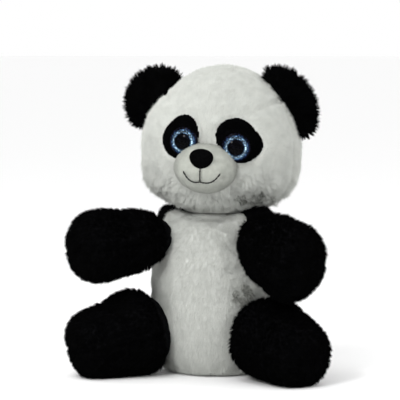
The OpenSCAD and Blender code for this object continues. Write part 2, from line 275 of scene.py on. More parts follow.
def bunched(root, tip, pull, every, rnd):
    """Tips drawn towards the tip of the nearest of some lead strands, which makes locks."""
    lead = rnd.choice(len(root), max(len(root) // every, 1), replace=False)
    tree = kdtree.KDTree(len(lead))
    for i, k in enumerate(lead):
        tree.insert(root[k], i)
    tree.balance()
    nearest = np.array([lead[tree.find(p)[1]] for p in root])
    return tip + (tip[nearest] - tip) * pull


def per_root(value, root):
    """A setting that is one number, or a function of the roots' places, as a number for each root."""
    return value(root) if callable(value) else np.full(len(root), value)


def only(part, length):
    """length() where part() is true, else 0."""
    return lambda p: np.where(part(p), length(p), 0)


def grow(name, skin, count, length, flow, seed, width=0.28, lean=1.4, tuft=0.25, every=16, stray=0.2,
         soft=0.6):
    """A pile of closed, pointed strands on a skin. length and flow are functions of the roots' places: the
    strand length in mm, 0 for none, and the way that the strands lie. lean is how far they lie down, tuft how
    far they gather in locks of about `every` strands, and stray how far they turn aside. soft turns their
    shading towards the skin's, as on dense short pile."""
    rnd = np.random.default_rng(seed)
    root, n, size = scatter(skin, count, length, rnd)
    count = len(root)
    size = (size * np.clip(1 + 0.22 * rnd.standard_normal(count), 0.5, 1.6))[:, None]
    lie = unit(flow(root)) + per_root(stray, root)[:, None] * rnd.standard_normal((count, 3))
    lie = unit(lie - (lie * n).sum(axis=1, keepdims=True) * n)
    slope = per_root(lean, root) * (1 + 0.2 * rnd.standard_normal(count))
    tip = root + size * unit(n + lie * slope[:, None])
    tip = bunched(root, tip, per_root(tuft, root)[:, None], every, rnd)
    foot = root - ROOT_SINK * n
    way = unit(tip - foot)
    e = unit(np.cross(way, rnd.standard_normal((count, 3))))
    f = np.cross(way, e)
    thick = (width * rnd.uniform(0.75, 1.25, count))[:, None]
    spokes = [math.cos(t) * e + math.sin(t) * f for t in (0, 2 * math.pi / 3, 4 * math.pi / 3)]
    corners = np.stack([foot + thick * k for k in spokes] + [tip], axis=1)
    corners[:, :, 2] = np.maximum(corners[:, :, 2], FLOOR_GAP)
    strand = np.array([(2, 1, 0), (0, 1, 3), (1, 2, 3), (2, 0, 3)])
    faces = strand[None] + (np.arange(count) * 4)[:, None, None]
    shade = unit(soft * n[:, None] + (1 - soft) * np.stack(spokes + [n], axis=1))
    return triangle_object(name, corners.reshape(-1, 3), faces.reshape(-1, 3), shade.reshape(-1, 3))


# ---- stuffed covers ----

def evaluated(ob):
    """A new mesh of the object with its modifiers worked in."""
    bpy.context.view_layer.update()
    return bpy.data.meshes.new_from_object(ob.evaluated_get(bpy.context.evaluated_depsgraph_get()))


def inflate(ob, seams, shrink=1.6, cap=3.2):
    """Stuffs a cover: a slightly smaller, evenly meshed copy is blown up as cloth by up to cap mm, held
    where seams() is true, and its shape comes back to the cover."""
    points, _, normal = surface(ob)
    set_points(ob, points - shrink * normal)
    remesh = ob.modifiers.new("even", "REMESH")
    remesh.mode, remesh.voxel_size = "VOXEL", CLOTH_VOXEL * MM
    blown = link("blown", evaluated(ob))
    ob.modifiers.clear()
    before = points_of(blown)
    held = blown.vertex_groups.new(name="seams")
    held.add([int(i) for i in np.nonzero(seams(before))[0]], 1.0, "REPLACE")
    cloth = blown.modifiers.new("stuffing", "CLOTH")
    soft = cloth.settings
    soft.vertex_group_mass = held.name
    soft.use_pressure, soft.uniform_pressure_force = True, CLOTH_PRESSURE
    soft.effector_weights.gravity = 0
    soft.quality, soft.mass, soft.shrink_min = CLOTH_QUALITY, CLOTH_MASS, CLOTH_SLACK
    soft.tension_stiffness = soft.compression_stiffness = soft.shear_stiffness = CLOTH_STRETCH
    soft.bending_stiffness = CLOTH_BEND
    cloth.point_cache.frame_start, cloth.point_cache.frame_end = 1, CLOTH_FRAMES
    for number in range(1, CLOTH_FRAMES + 1):
        bpy.context.scene.frame_set(number)
    shape = evaluated(blown)
    after = np.empty(len(shape.vertices) * 3, np.float32)
    shape.vertices.foreach_get("co", after)
    bpy.data.meshes.remove(shape)
    blown.modifiers.clear()
    move = after.reshape(-1, 3) / MM - before
    far = np.linalg.norm(move, axis=1, keepdims=True)
    set_points(blown, before + move * np.minimum(1, cap / np.maximum(far, 1e-6)))
    finer = blown.modifiers.new("finer", "SUBSURF")
    finer.levels = finer.render_levels = 2
    ob.data = evaluated(blown)
    bpy.data.objects.remove(blown)
    bpy.context.scene.frame_set(1)


def press(ob, depth):
    """Moves a cover's surface in by depth(points) mm, keeps it above the floor and shades it smooth."""
    points, _, normal = surface(ob)
    points -= normal * depth(points)[:, None]
    points[:, 2] = np.maximum(points[:, 2], FLOOR_GAP)
    set_points(ob, points)
    ob.data.polygons.foreach_set("use_smooth", np.ones(len(ob.data.polygons), bool))


def two_tone(ob, second, where):
    """Another material on the faces whose middles are where() is true."""
    ob.data.materials.append(second)
    slots = np.empty(len(ob.data.polygons), np.int32)
    ob.data.polygons.foreach_get("material_index", slots)
    middle = np.empty(len(ob.data.polygons) * 3, np.float32)
    ob.data.polygons.foreach_get("center", middle)
    slots[where(middle.reshape(-1, 3) / MM)] = len(ob.data.materials) - 1
    ob.data.polygons.foreach_set("material_index", slots)


# ---- materials ----

def new_material(name, inputs):
    """A material with one shader that has these inputs: the material, its nodes, its links and the shader."""
    m = bpy.data.materials.new(name)
    m.use_nodes = True
    nodes, links = m.node_tree.nodes, m.node_tree.links
    nodes.clear()
    out = nodes.new("ShaderNodeOutputMaterial")
    skin = nodes.new("ShaderNodeBsdfPrincipled")
    links.new(skin.outputs["BSDF"], out.inputs["Surface"])
    for key, value in inputs.items():
        skin.inputs[key].default_value = value
    return m, nodes, links, skin


def noise_node(nodes, links, place, size, detail):
    """Noise with lumps about size mm across, fixed to the piece."""
    noise = nodes.new("ShaderNodeTexNoise")
    noise.inputs["Scale"].default_value = 1 / (size * MM)
    noise.inputs["Detail"].default_value = detail
    links.new(place.outputs["Object"], noise.inputs["Vector"])
    return noise


def ramp_node(nodes, stops):
    """A colour ramp through stops of a position and a colour."""
    ramp = nodes.new("ShaderNodeValToRGB")
    while len(ramp.color_ramp.elements) < len(stops):
        ramp.color_ramp.elements.new(0.5)
    for e, (at, colour) in zip(ramp.color_ramp.elements, stops):
        e.position, e.color = at, (*colour, 1)
    return ramp


def fabric(name, dark, light, size, rough=0.85, sheen=0.2, weave=0.0, spread=(0.35, 0.65), gloss=0.25):
    """Cloth or pile: its colour drifts between two tones in patches about size mm across, and a weave of
    about weave mm stands up from it."""
    inputs = {"Roughness": rough, "Sheen Weight": sheen, "Specular IOR Level": gloss}
    m, nodes, links, skin = new_material(name, inputs)
    place = nodes.new("ShaderNodeTexCoord")
    noise = noise_node(nodes, links, place, size, 5)
    noise.inputs["Roughness"].default_value = 0.65
    ramp = ramp_node(nodes, list(zip(spread, (dark, light))))
    links.new(noise.outputs["Fac"], ramp.inputs["Fac"])
    links.new(ramp.outputs["Color"], skin.inputs["Base Color"])
    if weave:
        grain = noise_node(nodes, links, place, weave, 3)
        bump = nodes.new("ShaderNodeBump")
        bump.inputs["Strength"].default_value = 0.5
        bump.inputs["Distance"].default_value = weave * MM
        links.new(grain.outputs["Fac"], bump.inputs["Height"])
        links.new(bump.outputs["Normal"], skin.inputs["Normal"])
    return m


EYE_RING = [(0.0, (0.0005, 0.0005, 0.0008)), (0.54, (0.0005, 0.0005, 0.001)), (0.60, (0.02, 0.04, 0.07)),
            (0.67, (0.13, 0.18, 0.22)), (0.73, (0.05, 0.09, 0.14)), (0.83, (0.006, 0.014, 0.035)),
            (0.92, (0.001, 0.001, 0.003))]


def glitter_eye():
    """A black pupil in a ring of silver-blue glitter that fades to navy, under a clear coat. The glitter's
    sparkle is painted into its colour as bright flakes, and painted light makes the ring brighter towards its
    bottom and darker towards its top.
    """
    coat = {"Coat Weight": 0.14, "Coat IOR": 1.3, "Coat Roughness": 0.04}
    m, nodes, links, skin = new_material("glitter_eye", {"Roughness": 0.5, "Specular IOR Level": 0.0, **coat})
    place = nodes.new("ShaderNodeTexCoord").outputs["Object"]

    def worked_out(node, kind, *values):
        """What a maths node makes of some numbers and other nodes' results."""
        n = nodes.new(node)
        n.operation = kind
        for socket, value in zip(n.inputs, values):
            if isinstance(value, bpy.types.NodeSocket):
                links.new(value, socket)
            else:
                socket.default_value = value
        return n

    across = worked_out("ShaderNodeVectorMath", "MULTIPLY", place, (1, 1, 0)).outputs[0]
    reach = worked_out("ShaderNodeVectorMath", "LENGTH", across).outputs["Value"]
    ring = ramp_node(nodes, EYE_RING)
    links.new(worked_out("ShaderNodeMath", "DIVIDE", reach, EYE_R * MM).outputs[0], ring.inputs["Fac"])
    flakes = nodes.new("ShaderNodeTexVoronoi")
    flakes.inputs["Scale"].default_value = 1 / (EYE_FLAKE * MM)
    links.new(place, flakes.inputs["Vector"])
    spark = nodes.new("ShaderNodeSeparateColor")
    links.new(flakes.outputs["Color"], spark.inputs["Color"])
    height = nodes.new("ShaderNodeSeparateXYZ")
    links.new(place, height.inputs[0])
    # painted light: the ring brighter towards its bottom and darker towards its top
    low = worked_out("ShaderNodeMath", "MULTIPLY_ADD", height.outputs[1], -0.5 / (EYE_R * MM), 0.5).outputs[0]
    # painted glints: a few of the flakes made much brighter
    painted_glints = worked_out("ShaderNodeMath", "POWER", spark.outputs[0], 5.0).outputs[0]
    gain = worked_out("ShaderNodeMath", "MULTIPLY_ADD", painted_glints, 6.5, low).outputs[0]
    tone = worked_out("ShaderNodeVectorMath", "SCALE", ring.outputs["Color"])
    links.new(gain, tone.inputs["Scale"])
    links.new(tone.outputs[0], skin.inputs["Base Color"])
    return m


WHITE = fabric("white_pile", (0.55, 0.565, 0.53), (0.635, 0.65, 0.61), 9, 0.95, 0.1, gloss=0.1)
WHITE_BACKING = fabric("white_backing", (0.50, 0.51, 0.48), (0.58, 0.59, 0.56), 4, 0.95, 0.1, weave=0.8)
# grey pile: painted shade between parted locks, with some dark stray fibres
DARK_FIBRE_AND_SHADE_PILE = fabric("dark_fibre_and_shade_pile", (0.07, 0.074, 0.062), (0.34, 0.35, 0.315), 2.5, 0.95, 0.1, gloss=0.1)
# pale grey pile: painted shade among ruffled locks
RUFFLED_SHADE_PILE = fabric("ruffled_shade_pile", (0.15, 0.155, 0.14), (0.46, 0.47, 0.43), 2, 0.95, 0.1, gloss=0.1)
# grey backing: painted shade in the gaps where the pile has parted
PARTED_SHADE_BACKING = fabric("parted_shade_backing", (0.12, 0.125, 0.11), (0.26, 0.265, 0.24), 4, 0.95, 0.0, weave=0.8)
BLACK = fabric("black_pile", (0.0005, 0.0005, 0.0006), (0.0016, 0.0017, 0.0019), 8, 0.9, 0.0, gloss=0.02)
BLACK_BACKING = fabric("black_backing", (0.001, 0.001, 0.0014), (0.003, 0.003, 0.0035), 4, 0.95, 0.0,
                       weave=0.8, gloss=0.03)
VELOUR = fabric("muzzle_velour", (0.385, 0.4, 0.36), (0.45, 0.465, 0.42), 5, 0.9, 0.1, weave=0.5)
FLOCK = fabric("nose_flock", (0.0005, 0.0005, 0.0006), (0.002, 0.002, 0.0022), 1.2, 0.9, 0.0, weave=0.35,
               gloss=0.01)
THREAD = fabric("mouth_thread", (0.003, 0.003, 0.003), (0.012, 0.012, 0.013), 0.7, 0.7, 0.0, weave=0.25)
SATIN = fabric("label_satin", (0.80, 0.80, 0.79), (0.88, 0.88, 0.87), 6, 0.4, 0.2, weave=0.3)
NYLON = fabric("washer_plastic", (0.78, 0.78, 0.76), (0.86, 0.86, 0.84), 8, 0.5, 0.0)
NAVY = fabric("eye_back_plastic", (0.001, 0.002, 0.006), (0.002, 0.004, 0.012), 3, 0.5, 0.0, gloss=0.1)
EYE = glitter_eye()


def fibre(cover, name, body, scale, middle, node):
    """The stuffing inside a cover, as the same shape made smaller about its middle."""
    points, tri, _ = surface(cover)
    core = triangle_object(name, (points - middle) * scale + middle, tri)
    dress(core, body, WHITE_BACKING, (node,))


# ---- head ----

TURN = turn_z(HEAD_TURN)


def turned(v):
    """A direction in the head's frame as one in the row frame."""
    return v @ TURN.T


def to_row(p):
    return turned(p) + (HEAD_SHIFT, 0, 0)


def to_head(p):
    return (p - (HEAD_SHIFT, 0, 0)) @ TURN


def head_radius(z):
    up = z > HEAD_Z
    h, n = np.where(up, HEAD_UP, HEAD_DOWN), np.where(up, CROWN, CHIN)
    return HEAD_R * np.maximum(1 - (np.abs(z - HEAD_Z) / h) ** n, 0) ** (1 / n)


def face_y(x, z):
    """Where the head's front is, at a place across and up."""
    return -HEAD_DEPTH * np.sqrt(np.maximum(head_radius(z) ** 2 - x ** 2, 1))


def askew(x, z, roll=FACE_ROLL):
    """The place on the head of the face's own x and z: the face is rolled a little about its middle."""
    c, s = math.cos(math.radians(roll)), math.sin(math.radians(roll))
    return x * c + (z - FACE_MID) * s, FACE_MID + (z - FACE_MID) * c - x * s


def straight(x, z):
    """The face's own x and z at a place on the head."""
    return askew(x, z, -FACE_ROLL)


# an eye patch's reach in mm at each eighth of a turn, from straight outwards and then upwards
PATCH_REACH = {1: (21.3, 19.4, 22.0, 21.0, 15.0, 14.0, 14.3, 17.5),
               -1: (21.3, 21.0, 22.0, 14.8, 10.3, 12.3, 13.5, 18.0)}


def patch_reach(side, q):
    """How far an eye patch reaches from the eye's axis, in mm, q degrees up from straight outwards: a smooth
    curve through its reach at each eighth of a turn."""
    k = q / 45
    low, t = np.floor(k).astype(int), k - np.floor(k)
    a, b, c, d = (np.array(PATCH_REACH[side])[(low + i) % 8] for i in (-1, 0, 1, 2))
    return smooth_between(a, b, c, d, t)


def eye_offset(h, side):
    """Outwards and up from an eye's axis to places on the face, in mm."""
    x, z = straight(h[:, 0], h[:, 2])
    return side * (x - EYE_SHIFT) - EYE_GAP / 2, z - EYE_Z


def patch_depth(h):
    """How far inside the edge of the nearest eye patch a place in the head's frame is, in mm."""
    best = np.full(len(h), -FAR)
    for _, side in SIDES:
        out, up = eye_offset(h, side)
        reach = patch_reach(side, np.degrees(np.arctan2(up, out)) % 360)
        best = np.maximum(best, np.where(h[:, 1] < FACE_FRONT, reach - np.hypot(out, up), -FAR))
    return best


def eye_reach(h):
    """Distance from the nearest eye's axis, in mm."""
    return np.where(h[:, 1] < 0, np.minimum(*(np.hypot(*eye_offset(h, side)) for _, side in SIDES)), FAR)


def from_eye(h):
    """The way from the nearest eye's axis to places on the face."""
    x, z = straight(h[:, 0], h[:, 2])
    x = x - EYE_SHIFT
    return unit(np.stack([x - np.sign(x) * EYE_GAP / 2, 0 * x, z - EYE_Z], axis=1))


MUZZLE_X, MUZZLE_Z = askew(FACE_X, MUZZLE["z"])
MUZZLE_Y = float(face_y(0, MUZZLE["z"]))


def in_muzzle(h, grow_by=0.0):
    """Whether a place on the head is behind the muzzle, its outline grown by grow_by mm."""
    x, z = h[:, 0] - MUZZLE_X, h[:, 2] - MUZZLE_Z
    return (np.hypot(x / (MUZZLE["w"] + grow_by), z / (MUZZLE["h"] + grow_by)) < 1) & (h[:, 1] < FACE_FRONT)


DART = np.array(((47, 233), (30, 222)))


def dart_depth(h):
    """1 along the darts that run from the ears down towards the eye patches, fading to 0 at their ends."""
    x, z = straight(h[:, 0], h[:, 2])
    a, b = DART
    p = np.stack([np.abs(x), z], axis=1) - a
    t = np.clip(p @ (b - a) / ((b - a) @ (b - a)), 0, 1)
    gap = np.linalg.norm(p - t[:, None] * (b - a), axis=1)
    return groove(gap, 2.6) * (1 - 0.7 * t) * step(4, -16, h[:, 1])


def head_skin():
    q = np.radians(np.linspace(-90, 90, 721))
    n, h = np.where(q > 0, CROWN, CHIN), np.where(q > 0, HEAD_UP, HEAD_DOWN)
    line = np.stack([HEAD_R * np.abs(np.cos(q)) ** (2 / n),
                     HEAD_Z + np.sign(q) * h * np.abs(np.sin(q)) ** (2 / n)], axis=1)
    line[[0, -1], 0] = 0
    points, faces = revolve(evenly(line, 1.7), 200)
    points[:, 1] *= HEAD_DEPTH
    return mesh_object("head_cover", to_row(points), faces)


def side_seam(h):
    """Distance in mm from the seams between the face and the head's sides, above the jaw."""
    off = np.radians(np.abs(np.degrees(np.arctan2(h[:, 0], -h[:, 1]))) - 75) * np.hypot(h[:, 0], h[:, 1])
    return np.where(h[:, 2] > 150, np.abs(off), FAR)


def messy(h):
    """1 where the pile of the jaw has parted in untidy locks, most on the panda's left, else down to 0."""
    left = spot(h[:, 0], h[:, 2], (32, 153), (14, 7))
    right = spot(h[:, 0], h[:, 2], (-44, 154), (9, 6))
    return (left + 0.5 * right) * (h[:, 1] < 5)


def shaggy(h):
    """1 where the pile stands in loose locks: on the front of the cheeks and chin, less round the sides."""
    return step(188, 164, h[:, 2]) * (0.6 + 0.4 * step(58, 42, np.abs(h[:, 0])))


def head_depth(p):
    """How far the head's seams, darts and eye patches sink, in mm, less how far its lumps stand out."""
    h = to_head(p)
    edge = patch_depth(h)
    cheek = groove(h[:, 2] - 168, 17) * step(12, 45, np.abs(h[:, 0]))
    chin_seam = groove(h[:, 0], 1.6) * step(160, 152, h[:, 2]) * (h[:, 1] < 0)
    sink = 1.6 * groove(edge, 2.0) + 1.0 * step(-2, 5, edge) + 1.3 * dart_depth(h)
    sink = sink + 1.2 * groove(side_seam(h), 2.5) + 3.5 * messy(h) - 0.3 * cheek
    return sink - 0.6 * ripple(p, 26, 5) - 0.7 * ripple(h, 8, 11) * shaggy(h) + chin_seam


def head_seams(p):
    """Whether a place on the head is held while it is stuffed."""
    h = to_head(p)
    return (side_seam(h) < SEAM_HALF) | (np.abs(patch_depth(h)) < SEAM_HALF) | (p[:, 2] < JAW_Z)


def pile_length(p):
    """White pile on the head: short on the brow, shaggier on the cheeks and chin, worn down under the jaw."""
    h = to_head(p)
    low, edge = step(186, 164, h[:, 2]), patch_depth(h)
    out = 3.8 + 0.8 * step(30, 60, np.abs(h[:, 0])) + low * (3.0 + 1.1 * ripple(h, 8, 11))
    out += 1.0 * step(0, 40, h[:, 1])
    out *= (1 - 0.35 * dart_depth(h)) * (1 - 0.4 * step(-5, 0, edge)) * (1 - 0.2 * messy(h))
    r = np.hypot(h[:, 0], h[:, 1])
    out *= 1 - 0.6 * step(152, 146, h[:, 2]) * step(36, 26, r)
    parted = messy(h) * (1 + ripple(h, 4, 9)) > 0.8
    bare = parted | (edge > -0.3) | in_muzzle(h, -1.5) | ((h[:, 2] < JAW_Z) & (r < 17))
    return np.where(bare, 0, out)


def pile_flow(p):
    """Away from the muzzle and downwards on the cheeks, and away from the eyes beside their patches."""
    h = to_head(p)
    v = unit(h - (FACE_X, -62, 178)) * (1, 0.6, 1)
    v[:, 2] -= 0.75 * step(210, 180, h[:, 2])
    near = step(-9, -2, patch_depth(h))[:, None]
    return turned(v * (1 - near) + from_eye(h) * near)


def pile_tuft(p):
    return 0.1 + 0.55 * shaggy(to_head(p))


def pile_stray(p):
    h = to_head(p)
    return 0.12 + 0.2 * step(184, 160, h[:, 2]) + 0.5 * messy(h)


def pile_lean(p):
    return 1.7 - 0.72 * shaggy(to_head(p))


def patch_length(p):
    """Black pile on the eye patches: short at the edge and beside the lens."""
    h = to_head(p)
    depth, reach = patch_depth(h), eye_reach(h)
    out = 1.3 + 2.4 * step(0, 5, depth) * step(EYE_R - 1, EYE_R + 4, reach)
    return np.where((depth > 0.2) & (reach > EYE_R - 2.5) & ~in_muzzle(h, -1.5), out, 0)


def patch_flow(p):
    return turned(from_eye(to_head(p)))


def loose_length(p):
    """Longer pile that stands out in the messy places, its edge broken up. Its grey is painted shade between
    the parted locks, with some dark stray fibres.
    """
    h = to_head(p)
    return np.where(messy(h) * (1 + 0.6 * ripple(h, 5, 13)) > 0.42, 6.2, 0)


skin = head_skin()
fibre(skin, "head_fibre", "head", 0.93, (0, 0, HEAD_Z), "head_stuffing")
inflate(skin, head_seams)
press(skin, head_depth)
dress(skin, "head", WHITE_BACKING,
      ("face_panel", "left_head_side", "right_head_side", "head_back_panel"))
two_tone(skin, BLACK_BACKING, lambda p: patch_depth(to_head(p)) > 0)
# painted shade on the backing where the jaw's pile has parted
two_tone(skin, PARTED_SHADE_BACKING, lambda p: messy(to_head(p)) > 0.3)

HEAD_PILES = [
    ("brow_pile", 30000, lambda h: (h[:, 1] < HEAD_FRONT) & (h[:, 2] >= BROW_Z), 20, 0.6),
    ("cheek_pile", 45000, lambda h: (h[:, 1] < HEAD_FRONT) & (h[:, 2] < BROW_Z), 21, 0.25),
    ("head_side_pile", 44000, lambda h: (h[:, 1] >= HEAD_FRONT) & (h[:, 1] < HEAD_BACK), 22, 0.5),
    ("head_back_pile", 44000, lambda h: h[:, 1] >= HEAD_BACK, 23, 0.5),
]
for name, count, part, seed, soft in HEAD_PILES:
    length = only(lambda p, part=part: part(to_head(p)), pile_length)
    pile = grow(name, skin, count, length, pile_flow, seed, lean=pile_lean, tuft=pile_tuft, every=34,
                stray=pile_stray, soft=soft)
    dress(pile, "head", WHITE)
# grey strands in the jaw's parted spots: painted shade between the locks, with some dark stray fibres
loose = grow("jaw_loose_pile", skin, 5200, loose_length, pile_flow, 24, stray=0.45, lean=1.0, tuft=0.6,
             every=22, width=0.26, soft=0.2)
dress(loose, "head", DARK_FIBRE_AND_SHADE_PILE)
patches = grow("eye_patch_pile", skin, 9000, patch_length, patch_flow, 31, width=0.3, lean=0.8)
dress(patches, "head", BLACK, ("left_eye_patch", "right_eye_patch"))

# ---- muzzle, nose, mouth, eyes ----


def muzzle_point(x, z):
    """A place on the muzzle's front, in the muzzle's own frame."""
    y = -MUZZLE["out"] * np.sqrt(np.maximum(1 - (x / MUZZLE["w"]) ** 2 - (z / MUZZLE["h"]) ** 2, 0))
    return np.stack([x, y, z], axis=-1)


def face_place(p):
    """From the muzzle's own frame to the row frame."""
    p = p @ turn_y(FACE_ROLL).T
    return to_row(p + (MUZZLE_X, MUZZLE_Y, MUZZLE_Z))


def muzzle_skin():
    """An egg shape, creased under the nose and dimpled at the smile's end."""
    points, faces = ball(61, 120)
    points = points[:, [0, 2, 1]] * (1, -1, 1)
    x, y, z = points.T
    dimple = spot(x, z, (0.72, -0.3), (0.09, 0.1)) * (y < 0)
    crease = groove(x, 0.07) * step(0.1, -0.1, z) * step(-0.75, -0.55, z) * (y < 0)
    points = points * (MUZZLE["w"], MUZZLE["out"], MUZZLE["h"])
    points *= (1 - 0.05 * dimple - 0.03 * crease + 0.008 * ripple(points, 11, 3))[:, None]
    return mesh_object("muzzle_velour_cover", face_place(points), faces)


def velour_length(p):
    h = to_head(p)
    out = 1.0 + 0.4 * step(MUZZLE_Y - 8, MUZZLE_Y, h[:, 1])
    return np.where(h[:, 1] < MUZZLE_Y + 6, out, 0)


def down(p):
    return np.tile((0.0, 0, -1), (len(p), 1))


muzzle = dress(muzzle_skin(), "head", VELOUR, ("muzzle_cover",))
velour = grow("muzzle_pile", muzzle, 22000, velour_length, down, 41, width=0.16, lean=0.5, tuft=0.1)
dress(velour, "head", VELOUR)


def nose_skin():
    """A ball, wider at the top, sunk a little in the muzzle."""
    points, faces = ball(41, 72)
    points[:, 0] *= 1 + 0.16 * points[:, 2]
    points = points * NOSE_HALF
    top = muzzle_point(np.array(0.0), np.array(float(NOSE_RISE)))
    return mesh_object("flocked_nose", face_place(points + (0, top[1] - 0.8, NOSE_RISE)), faces)


def tube(path, radius, sides=8):
    """Points and faces of one rounded stitch along a path."""
    path = np.asarray(path)
    way = unit(np.gradient(path, axis=0))
    e = unit(np.cross(way, (0.05, 1, 0.02)))
    f = np.cross(e, way)
    n = len(path)
    swell = np.sqrt(np.clip(1 - (np.linspace(-1, 1, n) ** 2) ** 2, 0.04, 1)) * radius
    ring = np.array([(math.cos(t), math.sin(t)) for t in np.arange(sides) * 2 * math.pi / sides])
    points = (path[:, None] + swell[:, None, None] * (ring[None, :, :1] * e[:, None]
                                                        + ring[None, :, 1:] * f[:, None])).reshape(-1, 3)
    faces = []
    for low in range(0, (n - 1) * sides, sides):
        high = low + sides
        faces += [(low + k, low + (k + 1) % sides, high + (k + 1) % sides, high + k) for k in range(sides)]
    faces += [tuple(range(sides))[::-1], tuple((n - 1) * sides + k for k in range(sides))]
    return points, faces


def smile(x):
    """The smile's height at a place across the muzzle."""
    u = np.abs(x) / np.where(x < 0, SMILE_RIGHT, SMILE_LEFT)
    return SMILE_Z + SMILE_RISE * u ** 3 - SMILE_SAG * u * (1 - u)


def mouth():
    """Back stitches along the smile and up to the nose, each a short tube in the velour's pile."""
    points, faces, n = [], [], 6
    xs = np.linspace(-SMILE_RIGHT, SMILE_LEFT, 16)
    lines = [(np.linspace(a, b, n), smile(np.linspace(a, b, n))) for a, b in zip(xs, xs[1:])]
    zs = np.linspace(SMILE_Z + 0.2, 2.5, 6)
    lines += [(np.zeros(n), np.linspace(a, b, n)) for a, b in zip(zs, zs[1:])]
    rise = 0.6 + 0.5 * np.sin(np.linspace(0, math.pi, n))
    for x, z in lines:
        on_muzzle = muzzle_point(x, z)
        p, f = tube(face_place(on_muzzle + unit(on_muzzle) * rise[:, None]), 0.6)
        faces += [tuple(i + len(points) for i in g) for g in f]
        points += list(p)
    return mesh_object("mouth_thread", points, faces)


dress(nose_skin(), "head", FLOCK, ("nose",))
dress(mouth(), "head", THREAD, ("mouth_stitching",))


def eye_piece(name, side, line):
    """A turned piece in an eye's own frame: x across, y up and z outwards along its axis."""
    points, faces = revolve(line, 96)
    ob = mesh_object(name, points, faces)
    x, z = askew(EYE_SHIFT + side * EYE_GAP / 2 + EYE_MOVE[side][0], EYE_Z + EYE_MOVE[side][1])
    at = to_row(np.array([[x, float(face_y(x, z)) + EYE_SINK, z]]))[0]
    spin = TURN @ turn_z(side * EYE_TURN) @ np.array([[1, 0, 0], [0, 0, -1], [0, 1, 0.0]])
    m = Matrix(spin.tolist()).to_4x4()
    m.translation = Vector(at * MM)
    ob.matrix_world = m
    return ob


def dome_line():
    """Half the outline of a shallow domed lens on a short straight edge."""
    ball_r = (EYE_R ** 2 + EYE_DOME ** 2) / (2 * EYE_DOME)
    r = EYE_R * np.cos(np.linspace(0, math.pi / 2, 25))
    r[-1] = 0
    dome = np.stack([r, 4.6 + EYE_DOME - ball_r + np.sqrt(ball_r ** 2 - r ** 2)], axis=1)
    return np.vstack([[(EYE_R - 0.4, 3.3), (EYE_R, 3.8)], dome])


RIM_LINE = [(0, 1.5), (EYE_R - 1, 1.5), (EYE_R - 0.6, 2), (EYE_R - 0.8, 3.2), (0, 3.2)]

for label, side in SIDES:
    dress(eye_piece(f"{label}_eye_dome", side, dome_line()), "head", EYE, (f"{label}_eye_lens",))
    dress(eye_piece(f"{label}_eye_rim", side, RIM_LINE), "head", NAVY, (f"{label}_eye_back",))

# ---- ears ----

# how far each ear is stretched outwards and along its base, and how far it is moved from its place in the CAD
EAR_SHAPE = {1: (0.86, 1.22), -1: (1.03, 1.06)}
EAR_MOVE = {1: (-4.2, 0, 0.8), -1: (0, 0, -4.0)}
EAR_ROOT, EAR_OUT = math.radians(EAR_Q), math.radians(EAR_LIFT)
EAR_AT = np.array([HEAD_R * math.cos(EAR_ROOT) ** (2 / CROWN) + EAR_FOOT * math.cos(EAR_OUT), 0,
                   HEAD_Z + HEAD_UP * math.sin(EAR_ROOT) ** (2 / CROWN) + EAR_FOOT * math.sin(EAR_OUT)])


def ear_place(p, side):
    """From an ear's own frame to the row frame: x is outwards from its foot, -y front, z up its base line."""
    p = (p @ turn_y(-EAR_LIFT).T + EAR_AT) * (side, 1, 1) + EAR_MOVE[side] - (0, 0, FACE_MID)
    return to_row(p @ turn_y(FACE_ROLL).T + (0, 0, FACE_MID))


def ear_own(p, side):
    """From the row frame to an ear's own frame: ear_place() undone."""
    p = (to_head(p) - (0, 0, FACE_MID)) @ turn_y(FACE_ROLL) + (0, 0, FACE_MID)
    return ((p - EAR_MOVE[side]) * (side, 1, 1) - EAR_AT) @ turn_y(-EAR_LIFT)


def ear_shape(side):
    """A flat pillow in the ear's own frame: its foot cut short, its front cupped and its rim bent back."""
    t = np.linspace(0, math.pi, 45)
    line = np.stack([EAR_R * np.sin(t) ** 0.85, -5 * np.cos(t)], axis=1)
    line[[0, -1], 0] = 0
    points, faces = revolve(line, 96)
    points = points[:, [0, 2, 1]]
    x, y, z = points.T
    r = np.hypot(x, z) / EAR_R
    cup, bend, foot = 1.6 * (1 - r ** 2) * (y < 0) * step(-6, 8, x), 2.6 * (r ** 2) * step(0, 20, x), 0.2 * x
    y = y + cup + bend - 1.2
    x = np.where(x < 0, foot, x) + 0.4
    points = np.stack([x * EAR_SHAPE[side][0], y, z * EAR_SHAPE[side][1]], axis=1)
    points[:, 1] += 0.5 * ripple(points, 14, 8)
    return points, faces if side < 0 else [f[::-1] for f in faces]


def ear(label, side):
    """An ear with its stuffing and its pile, which fans out from the foot."""
    body = f"{label}_ear"
    shape, faces = ear_shape(side)
    cover = mesh_object(f"{body}_cover", ear_place(shape, side), faces)
    fibre(cover, f"{body}_fibre", body, 0.7, ear_place(np.array([[8.0, 0, 0]]), side)[0], f"{body}_stuffing")
    dress(cover, body, BLACK_BACKING, (f"{body}_front", f"{body}_back"))

    def fan(p):
        v = unit(ear_own(p, side) * (1, 0.2, 1) - (-8, 0, 0))
        return ear_place(v, side) - ear_place(np.zeros((1, 3)), side)

    pile = grow(f"{body}_pile", cover, 15000, lambda p: np.full(len(p), 5.4), fan, 51 + side, width=0.24,
                lean=0.8, tuft=0.5)
    dress(pile, body, BLACK)


for label, side in SIDES:
    ear(label, side)

# ---- limbs ----


def limb_frame(spec, side):
    """Origin and axes of a limb: columns are across, up and outwards along it."""
    a = math.radians(spec["spread"][side] - 90)
    out = np.array([side * math.cos(a), math.sin(a), 0])
    d = math.radians(spec["droop"][side])
    along = out * math.cos(d) - np.array([0, 0, math.sin(d)])
    across = unit(np.cross((0, 0, 1.0), along))
    up = np.cross(along, across)
    return out * spec["out"] + (0, 0, spec["z"]), np.stack([across, up, along], axis=1)


